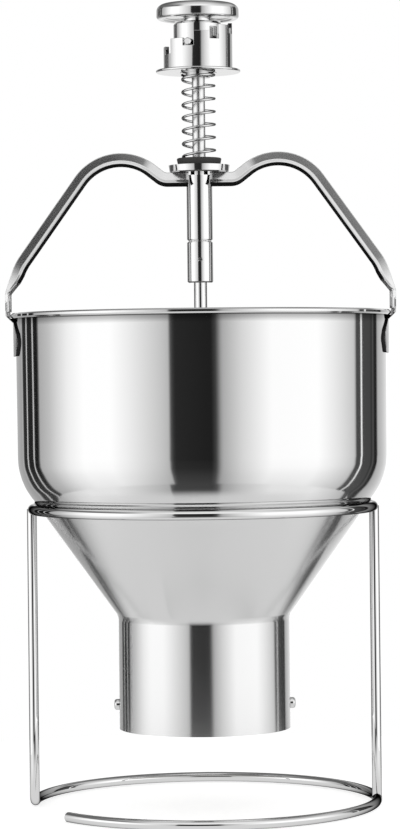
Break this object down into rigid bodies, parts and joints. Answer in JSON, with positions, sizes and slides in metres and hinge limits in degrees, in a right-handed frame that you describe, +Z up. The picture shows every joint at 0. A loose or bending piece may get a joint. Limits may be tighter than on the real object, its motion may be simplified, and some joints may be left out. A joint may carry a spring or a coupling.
{
  "type": "donut batter dispenser",
  "caption": "Conical steel batter hopper in a wire stand, with a sprung push plunger, a stepped portion selector cup and an arched carrying handle.",
  "frame": {"origin": "on the hopper's upright axis, at the level that the stand's base ring rests on", "axes": "+Z up along the hopper and the plunger; +X towards the right leg and the right foot of the handle, seen from the front; -Y towards the front, where the base ring's free end is"},
  "size_m": [0.2408, 0.2346, 0.4952],
  "materials": {
    "polished_sheet": "polished",
    "turned_steel": "polished",
    "steel_wire": "polished",
    "spring_steel": "polished",
    "white_plastic": "satin",
    "seal_rubber": "matte"
  },
  "bodies": {
    "stand": {"stand_top_ring": "steel_wire", "stand_base_wire": "steel_wire", "stand_right_leg": "steel_wire"},
    "hopper": {"hopper_shell": "polished_sheet", "carrying_handle": "polished_sheet", "guide_bush": "turned_steel", "spring_dish": "turned_steel", "return_spring": "spring_steel", "rod_guide": "turned_steel", "die_ring": "white_plastic", "die_seal": "seal_rubber", "neck_screws": "turned_steel"},
    "plunger": {"push_knob": "turned_steel", "knob_sleeve": "turned_steel", "selector_pin": "turned_steel", "plunger_rod": "turned_steel", "rod_coupling": "turned_steel", "lower_rod": "turned_steel", "cutter_disc": "turned_steel", "disc_nut": "turned_steel"},
    "cup_seat": {"thrust_collar": "turned_steel"},
    "cup": {"selector_cup": "turned_steel"}
  },
  "joints": [
    {"name": "hopper_lift", "type": "slide", "parent": "stand", "child": "hopper", "axis": [0, 0, 1], "range_m": [0, 0.16]},
    {"name": "plunger_press", "type": "slide", "parent": "hopper", "child": "plunger", "axis": [0, 0, -1], "range_m": [0, 0.032], "stiffness_N_per_m": 1350, "springref_m": -0.01, "deforming": ["return_spring"]},
    {"name": "cup_release", "type": "slide", "parent": "plunger", "child": "cup_seat", "axis": [0, 0, -1], "range_m": [0, 0.009], "stiffness_N_per_m": 1350, "springref_m": -0.01, "deforming": ["return_spring"]},
    {"name": "cup_turn", "type": "hinge", "parent": "cup_seat", "child": "cup", "pos_m": [0, 0, 0.4522], "axis": [0, 0, 1], "range_deg": [-3, 1.4]}
  ]
}
